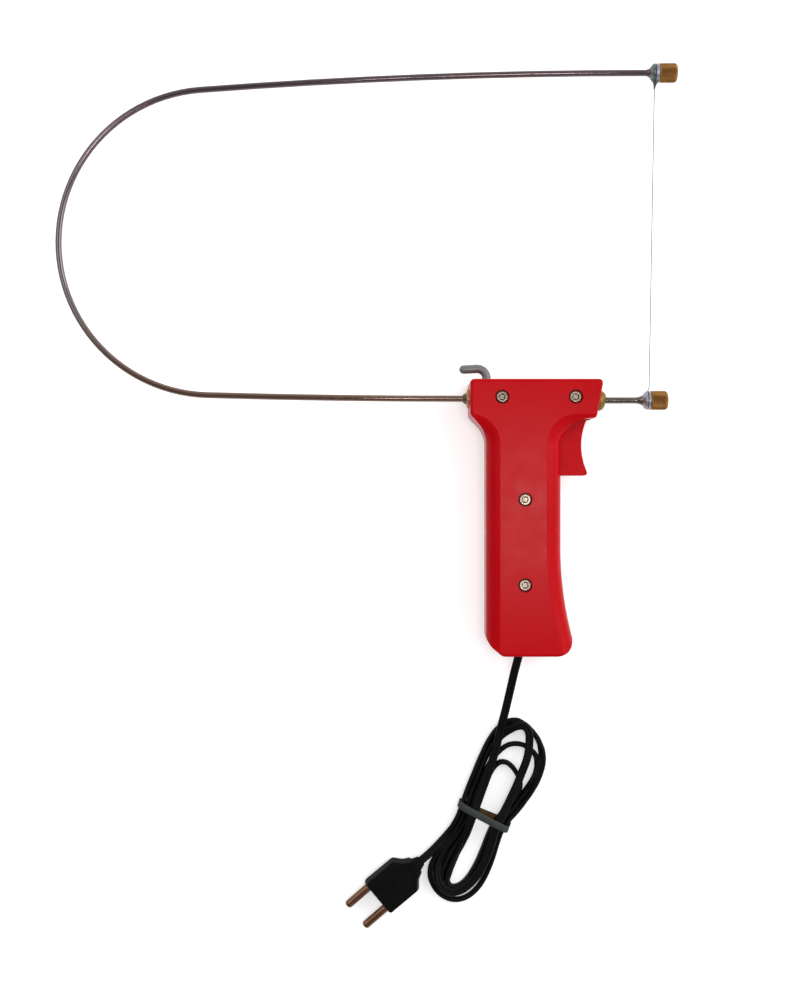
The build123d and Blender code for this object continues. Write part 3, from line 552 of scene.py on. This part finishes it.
def swept_cord(name, points, rolls):
    section = twin_section()
    last = len(points) - 1
    vertices = []
    for i, point in enumerate(points):
        way = (points[min(i + 1, last)] - points[max(i - 1, 0)]).normalized()
        side = way.cross(UP).normalized()
        up = side.cross(way)
        # The spans of a spline of order 3 join half way between its control points
        roll = math.radians(between(rolls, i / last * (len(rolls) - 2) + 0.5))
        wide = up * math.cos(roll) + side * math.sin(roll)
        thin = side * math.cos(roll) - up * math.sin(roll)
        vertices += [point + (wide * w + thin * t) * MM for w, t in section]
    faces = ring_faces(len(points), len(section)) + end_caps(len(points), len(section))
    cord = add_mesh(name, vertices, faces)
    cord.data.set_sharp_from_angle(angle=math.radians(CORD_SHARP_DEGREES))
    return cord


def make_cord():
    points = spline_points([hank_point(*place[:3]) for place in ROUTE], CORD_STEPS)
    cord = swept_cord("cord", points, [place[3] for place in ROUTE])
    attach(cord, "handle")
    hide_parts("cord_lead", "cord_hank", "cord_tail")
    return cord, points


# Tie

def tie_section():
    """Outline of the band, as (wide, inward). Its first half faces the hank."""
    half, thick = TIE_WIDE / 2, TIE_THICK / 2
    edge = half - TIE_BEVEL
    return [(-half, 0), (-edge, thick), (edge, thick), (half, 0), (edge, -thick), (-edge, -thick)]


def make_tie():
    """Flat band drawn round the hank, askew as it was put on."""
    centre = spline_points([hank_point(*place) for place in TIE], TIE_STEPS, closed=True)
    along = hank_point(1, 0, 0) - hank_point(0, 0, 0)
    section = tie_section()
    vertices = []
    for i, point in enumerate(centre):
        way = (centre[(i + 1) % len(centre)] - centre[i - 1]).normalized()
        wide = (along - way * along.dot(way)).normalized()
        inward = wide.cross(way)
        vertices += [point + (wide * w + inward * t) * MM for w, t in section]
    tie = add_mesh("tie", vertices, ring_faces(len(centre), len(section), closed=True))
    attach(tie, "handle")
    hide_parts("hank_tie")
    return tie


# Thumb nuts

def nut_profile(start, end, radius):
    """Half section from inside the closed end round to its outside, as (x, radius, knurl's depth)."""
    rim = []
    for degrees in NUT_ROUND_DEGREES:
        turn = math.radians(degrees)
        back, drop = NUT_ROUND * (1 - math.sin(turn)), NUT_ROUND * (1 - math.cos(turn))
        rim.append((end - NUT_BULGE - back, radius - drop, KNURL_DEPTH * (1 - degrees / 90)))
    return [
        (end - NUT_END, NUT_MIDDLE, 0),
        (end - NUT_END, NUT_BORE, 0),
        (start, NUT_BORE, 0),
        (start, radius - NUT_CHAMFER, 0),
        (start + NUT_CHAMFER, radius - NUT_BAND_SUNK, 0),
        (start + NUT_BAND, radius - NUT_BAND_SUNK, 0),
        (start + NUT_BAND + NUT_STEP, radius, KNURL_DEPTH),
        *rim,
        *[(end - NUT_BULGE * drop, radius * reach, 0) for drop, reach in NUT_DOME],
        (end, NUT_MIDDLE, 0),
    ]


def make_nut(node, body):
    """Thumb nut with a straight knurl and a domed end, where the CAD nut is."""
    low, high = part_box(node)
    axis = Vector((0, (low.y + high.y) / 2, (low.z + high.z) / 2))
    profile = nut_profile(low.x / MM, high.x / MM, (high.y - low.y) / 2 / MM)
    around = KNURL_TEETH * KNURL_SAMPLES
    vertices = []
    for x, reach, depth in profile:
        for i in range(around):
            groove = abs(2 * (i % KNURL_SAMPLES) / KNURL_SAMPLES - 1)
            angle = 2 * math.pi * i / around
            size = max(reach - depth * groove, NUT_MIDDLE)
            vertices.append(axis + Vector((x, size * math.cos(angle), size * math.sin(angle))) * MM)
    faces = ring_faces(len(profile), around) + end_caps(len(profile), around)
    nut = add_mesh(node.replace("thumb", "knurled"), vertices, faces)
    nut.data.set_sharp_from_angle(angle=math.radians(NUT_SHARP_DEGREES))
    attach(nut, body)
    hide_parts(node)


# Wire end and return spring

def wound_wire(name, start, end, turns, reach, radius):
    """Round wire wound about a line, at the distance that reach gives for each share of its length."""
    way = (end - start).normalized()
    across = way.cross(UP).normalized()
    up = across.cross(way)
    count = turns * COIL_SAMPLES
    line = []
    for i in range(count + 1):
        share = i / count
        angle = 2 * math.pi * turns * share
        outward = across * math.cos(angle) + up * math.sin(angle)
        line.append(start.lerp(end, share) + outward * reach(share))
    vertices = []
    for i, point in enumerate(line):
        tangent = (line[min(i + 1, count)] - line[max(i - 1, 0)]).normalized()
        side = tangent.cross(way).normalized()
        over = side.cross(tangent)
        for k in range(WIRE_SIDES):
            angle = 2 * math.pi * k / WIRE_SIDES
            vertices.append((point + (side * math.cos(angle) + over * math.sin(angle)) * radius) * MM)
    faces = ring_faces(count + 1, WIRE_SIDES) + end_caps(count + 1, WIRE_SIDES)
    return add_mesh(name, vertices, faces)


def twist_reach(share):
    wide, narrow = TWIST_RADII
    return narrow + (wide - narrow) * (1 - share) ** 2


def make_twist():
    top, foot = Vector(TWIST_TOP), Vector(TWIST_FOOT)
    twist = wound_wire("wire_twist", top, foot, TWIST_TURNS, twist_reach, TWIST_WIRE)
    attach(twist, "handle")


def make_spring():
    """Return spring, coiled where the CAD spring is."""
    low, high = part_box("trigger_return_spring")
    middle = (low + high) / 2
    reach = (high.y - low.y) / 2 / MM - SPRING_WIRE
    start = Vector((low.x, middle.y, middle.z)) / MM + Vector((SPRING_WIRE, 0, 0))
    end = Vector((high.x, middle.y, middle.z)) / MM - Vector((SPRING_WIRE, 0, 0))
    spring = wound_wire("return_spring", start, end, SPRING_TURNS, lambda share: reach, SPRING_WIRE)
    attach(spring, "handle")
    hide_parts("trigger_return_spring")
    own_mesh(spring)


# Finishes

def fill_ramp(ramp, stops):
    """Colour ramp with one element for each stop, given as (position, linear colour)."""
    elements = ramp.color_ramp.elements
    while len(elements) < len(stops):
        elements.new(position=0.5)
    for element, (position, colour) in zip(elements, stops):
        element.position = position
        element.color = colour


class Finish:
    """Principled material whose colour, roughness and relief follow the part's own axes."""

    def __init__(self, name, metallic=0.0, specular=0.5):
        self.material = bpy.data.materials.new(name)
        self.material.use_nodes = True
        self.nodes = self.material.node_tree.nodes
        self.links = self.material.node_tree.links
        self.shader = self.nodes["Principled BSDF"]
        self.shader.inputs["Metallic"].default_value = metallic
        self.shader.inputs["Specular IOR Level"].default_value = specular
        self.place = self.nodes.new("ShaderNodeTexCoord").outputs["Object"]

    def noise(self, grain, stretch=EVEN):
        """Noise whose features are about grain millimetres across, longer along a stretched axis."""
        mapping = self.nodes.new("ShaderNodeMapping")
        mapping.inputs["Scale"].default_value = [1 / (grain * MM * length) for length in stretch]
        texture = self.nodes.new("ShaderNodeTexNoise")
        texture.inputs["Scale"].default_value = 1.0
        texture.inputs["Detail"].default_value = NOISE_DETAIL
        self.links.new(self.place, mapping.inputs["Vector"])
        self.links.new(mapping.outputs["Vector"], texture.inputs["Vector"])
        return texture.outputs["Fac"]

    def along(self, axis, start, end):
        """Share of the way from one place on an axis to another, both in metres."""
        axes = self.nodes.new("ShaderNodeSeparateXYZ")
        share = self.nodes.new("ShaderNodeMapRange")
        share.inputs["From Min"].default_value = start
        share.inputs["From Max"].default_value = end
        self.links.new(self.place, axes.inputs["Vector"])
        self.links.new(axes.outputs[axis], share.inputs["Value"])
        return share.outputs["Result"]

    def blurred(self, value, noise, amount):
        """Value with an amount of noise mixed in, so that its bands have no straight edges."""
        mix = self.nodes.new("ShaderNodeMix")
        mix.inputs["Factor"].default_value = amount
        self.links.new(value, mix.inputs["A"])
        self.links.new(noise, mix.inputs["B"])
        return mix.outputs["Result"]

    def colour(self, value, tints):
        """Colour by a value, from tints given as (value, 8-bit colour)."""
        ramp = self.nodes.new("ShaderNodeValToRGB")
        fill_ramp(ramp, [(level, srgb(*tint)) for level, tint in tints])
        self.links.new(value, ramp.inputs["Fac"])
        self.links.new(ramp.outputs["Color"], self.shader.inputs["Base Color"])

    def surface(self, grain, rough, relief, stretch=EVEN):
        """Uneven gloss within a range of roughness, and a fine relief of a depth in millimetres."""
        spread = self.nodes.new("ShaderNodeMapRange")
        spread.inputs["From Min"].default_value = ROUGH_LEVELS[0]
        spread.inputs["From Max"].default_value = ROUGH_LEVELS[1]
        spread.inputs["To Min"].default_value = rough[0]
        spread.inputs["To Max"].default_value = rough[1]
        self.links.new(self.noise(grain / GLOSS_FINER, stretch), spread.inputs["Value"])
        self.links.new(spread.outputs["Result"], self.shader.inputs["Roughness"])
        bump = self.nodes.new("ShaderNodeBump")
        bump.inputs["Distance"].default_value = relief * MM
        self.links.new(self.noise(grain / RELIEF_FINER, stretch), bump.inputs["Height"])
        self.links.new(bump.outputs["Normal"], self.shader.inputs["Normal"])


def mottled(name, grain, colours, rough, relief, stretch=EVEN, metallic=0.0, specular=0.5):
    """Two close colours in patches, with a finer grain that breaks up the gloss and the surface."""
    finish = Finish(name, metallic, specular)
    finish.colour(finish.noise(grain, stretch), list(zip(PATCH_LEVELS, colours)))
    finish.surface(grain, rough, relief, stretch)
    return finish.material


def tinted_rod(name):
    """Bare steel, browner and lighter on the run beside the grip, greyer round the bend, darker on the
    upper run.
    """
    low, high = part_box("bow")
    finish = Finish(name, metallic=1.0)
    share = finish.blurred(finish.along("Y", low.y, high.y), finish.noise(ROD_BLUR_GRAIN), ROD_BLUR)
    finish.colour(share, ROD_TINTS)
    finish.surface(**ROD_SURFACE)
    return finish.material


def dark_cone_bush(name):
    """Brass that is darker brown on the cone towards the rod and light on the flange against the head.
    """
    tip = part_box("rear_bush")[0].x
    finish = Finish(name, metallic=1.0)
    finish.colour(finish.along("X", tip, tip + BUSH_SHOWS * MM), BUSH_TINTS)
    finish.surface(**BUSH_SURFACE)
    return finish.material


def make_finishes():
    finishes = {name: mottled(name, **values) for name, values in FINISHES.items()}
    finishes["rod_steel"] = tinted_rod("rod_steel")
    finishes["bush_brass"] = dark_cone_bush("bush_brass")
    return finishes


def apply_finishes(tie):
    finishes = make_finishes()
    for finish, names in COVERED.items():
        for name in names:
            data = bpy.data.objects[name].data
            data.materials.clear()
            data.materials.append(finishes[finish])
    for finish in TIE_FINISHES:
        tie.data.materials.append(finishes[finish])
    sides = len(tie_section())
    for face in tie.data.polygons:
        face.material_index = 1 if face.index % sides < sides / 2 else 0


# Lights, floor and camera

def make_floor():
    """White floor that keeps the object's shadow, and is white to the camera and in reflections."""
    half = FLOOR_HALF * MM
    corners = [(-half, -half, 0), (half, -half, 0), (half, half, 0), (-half, half, 0)]
    floor = add_mesh("floor", corners, [(0, 1, 2, 3)])
    material = bpy.data.materials.new("floor_white")
    material.use_nodes = True
    nodes, links = material.node_tree.nodes, material.node_tree.links
    shader = nodes["Principled BSDF"]
    shader.inputs["Base Color"].default_value = FLOOR_COLOUR
    shader.inputs["Roughness"].default_value = FLOOR_ROUGH
    shader.inputs["Specular IOR Level"].default_value = 0.0
    shader.inputs["Emission Color"].default_value = (1, 1, 1, 1)
    path = nodes.new("ShaderNodeLightPath")
    seen = path.outputs["Is Camera Ray"]
    for other in ("Is Glossy Ray", "Is Transmission Ray"):
        either = nodes.new("ShaderNodeMath")
        either.operation = "MAXIMUM"
        links.new(seen, either.inputs[0])
        links.new(path.outputs[other], either.inputs[1])
        seen = either.outputs[0]
    glow = nodes.new("ShaderNodeMath")
    glow.operation = "MULTIPLY"
    glow.inputs[1].default_value = FLOOR_GLOW
    links.new(seen, glow.inputs[0])
    links.new(glow.outputs[0], shader.inputs["Emission Strength"])
    floor.data.materials.append(material)


def make_world():
    """Walls that are paler towards the nose, under a dim ceiling."""
    world = bpy.data.worlds.new("studio")
    world.use_nodes = True
    bpy.context.scene.world = world
    nodes, links = world.node_tree.nodes, world.node_tree.links
    place = nodes.new("ShaderNodeTexCoord")
    towards = nodes.new("ShaderNodeVectorMath")
    towards.operation = "DOT_PRODUCT"
    towards.inputs[1].default_value = DIM_SIDE
    spread = nodes.new("ShaderNodeMapRange")
    spread.inputs["From Min"].default_value = -1.0
    ramp = nodes.new("ShaderNodeValToRGB")
    fill_ramp(ramp, [(position, (level, level, level, 1)) for position, level in WALLS])
    links.new(place.outputs["Generated"], towards.inputs[0])
    links.new(towards.outputs["Value"], spread.inputs["Value"])
    links.new(spread.outputs["Result"], ramp.inputs["Fac"])
    links.new(ramp.outputs["Color"], nodes["Background"].inputs["Color"])


def make_lamps():
    for name, place, aim, size, power in LAMPS:
        data = bpy.data.lights.new(name, "AREA")
        data.shape = "RECTANGLE"
        data.size, data.size_y = size
        data.energy = power
        lamp = bpy.data.objects.new(name, data)
        lamp.location = place
        lamp.rotation_euler = (Vector(aim) - Vector(place)).to_track_quat("-Z", "Y").to_euler()
        bpy.context.scene.collection.objects.link(lamp)


def make_camera():
    data = bpy.data.cameras.new("camera")
    data.lens = CAMERA_LENS
    data.sensor_fit = "VERTICAL"
    data.sensor_height = SENSOR_HEIGHT
    camera = bpy.data.objects.new("camera", data)
    camera.location = Vector(CAMERA_PLACE) * MM
    bpy.context.scene.collection.objects.link(camera)
    bpy.context.scene.camera = camera


bpy.context.scene.view_settings.view_transform = "Standard"
make_camera()
make_floor()
make_world()
make_lamps()
cord, cord_points = make_cord()
tie = make_tie()
make_nut("upper_thumb_nut", "upper_nut")
make_nut("lower_thumb_nut", "lower_nut")
make_twist()
make_spring()
apply_finishes(tie)
